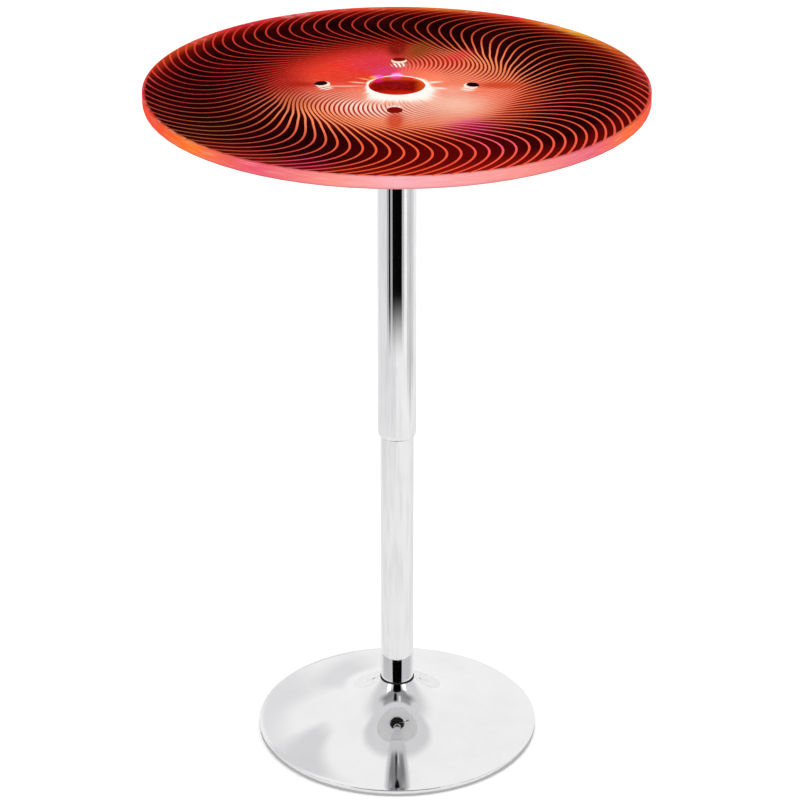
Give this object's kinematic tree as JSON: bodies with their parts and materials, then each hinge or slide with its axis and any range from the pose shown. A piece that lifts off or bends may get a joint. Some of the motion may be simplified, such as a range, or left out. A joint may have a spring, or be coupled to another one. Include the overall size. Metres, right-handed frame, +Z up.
{
  "type": "light up led table",
  "caption": "Bar-height pedestal table with a lit, swirl-engraved round acrylic top, a swivelling gas-lift column and a chromed trumpet base.",
  "frame": {"origin": "on the floor under the middle of the base, column at its full height", "axes": "+Z up along the column, -Y towards the camera of the picture, +X towards the lift lever"},
  "size_m": [0.648, 0.648, 0.9455],
  "materials": {
    "chrome_shell": "mirror chrome on spun steel",
    "chrome_tube": "mirror chrome on steel tube",
    "chrome_small": "bright chrome",
    "polished_rod": "ground and hard chromed",
    "zinc_steel": "zinc plated, satin",
    "bearing_steel": "ground steel",
    "black_paint": "black powder coat",
    "dark_bolt": "dark, satin",
    "black_rubber": "matt",
    "black_plastic": "fine grain",
    "white_plastic": "smooth",
    "lit_acrylic": "polished acrylic, lit from its middle",
    "grey_backing": "satin",
    "red_lens": "translucent",
    "clear_plastic": "clear",
    "cell_wrap": "printed film, plain here",
    "brass_strip": "nickelled strip",
    "board_green": "lacquered board"
  },
  "bodies": {
    "base": {"base_shell": "chrome_shell", "foot_ring": "black_rubber", "neck_ring": "black_rubber", "hub_socket": "zinc_steel", "hub_plate": "zinc_steel", "column_tube": "chrome_tube", "column_end_plate": "zinc_steel", "bearing_lower_race": "bearing_steel", "guide_bush": "black_plastic"},
    "rod": {"ball_cage": "bearing_steel", "bearing_upper_race": "bearing_steel", "rod_washer": "zinc_steel", "rod_clip": "bearing_steel", "rod_bumper": "black_rubber", "piston_rod": "polished_rod", "piston": "white_plastic", "piston_seal": "black_rubber"},
    "lift": {"gas_cylinder": "black_paint", "rod_guide": "black_plastic", "cover_tube": "chrome_tube", "glide_ring": "white_plastic", "cover_collar": "black_plastic", "socket_sleeve": "zinc_steel", "lever_bracket": "black_paint", "lever_pivot_pin": "zinc_steel", "mount_plate": "black_paint", "standoff_1": "chrome_small", "standoff_2": "chrome_small", "standoff_3": "chrome_small", "standoff_4": "chrome_small", "top_bolt_1": "dark_bolt", "top_bolt_2": "dark_bolt", "top_bolt_3": "dark_bolt", "top_bolt_4": "dark_bolt", "plate_nut_1": "zinc_steel", "plate_nut_2": "zinc_steel", "plate_nut_3": "zinc_steel", "plate_nut_4": "zinc_steel", "tabletop": "lit_acrylic", "backing_sheet": "grey_backing"},
    "lever": {"lift_lever": "chrome_small", "lever_grip": "black_plastic"},
    "valve": {"valve_pin": "zinc_steel"},
    "light_unit": {"puck_base": "black_plastic", "puck_case": "clear_plastic", "puck_screw_1": "zinc_steel", "puck_screw_2": "zinc_steel", "battery_1": "cell_wrap", "battery_2": "cell_wrap", "battery_3": "cell_wrap", "battery_contact_right": "brass_strip", "battery_contact_left": "brass_strip", "led_board": "board_green", "tap_switch": "black_plastic", "cap_spring": "bearing_steel"},
    "cap": {"lens_cap": "red_lens"}
  },
  "joints": [
    {"name": "swivel", "type": "hinge", "parent": "base", "child": "rod", "pos_m": [0, 0, 0.019], "axis": [0, 0, 1], "continuous": true},
    {"name": "lift", "type": "slide", "parent": "rod", "child": "lift", "axis": [0, 0, 1], "range_m": [-0.24, 0]},
    {"name": "lever", "type": "hinge", "parent": "lift", "child": "lever", "pos_m": [0.03, 0, 0.9093], "axis": [0, -1, 0], "range_deg": [0, 6], "stiffness_Nm_per_rad": 4},
    {"name": "valve", "type": "slide", "parent": "lift", "child": "valve", "axis": [0, 0, -1], "range_m": [0, 0.0035]},
    {"name": "light_unit_lift", "type": "slide", "parent": "lift", "child": "light_unit", "axis": [0, 0, 1], "range_m": [0, 0.06]},
    {"name": "cap_press", "type": "slide", "parent": "light_unit", "child": "cap", "axis": [0, 0, -1], "range_m": [0, 0.0015], "stiffness_N_per_m": 800, "springref_m": -0.002}
  ],
  "couplings": [
    {"joint": "valve", "follows": "lever", "m_per_rad": 0.03}
  ]
}
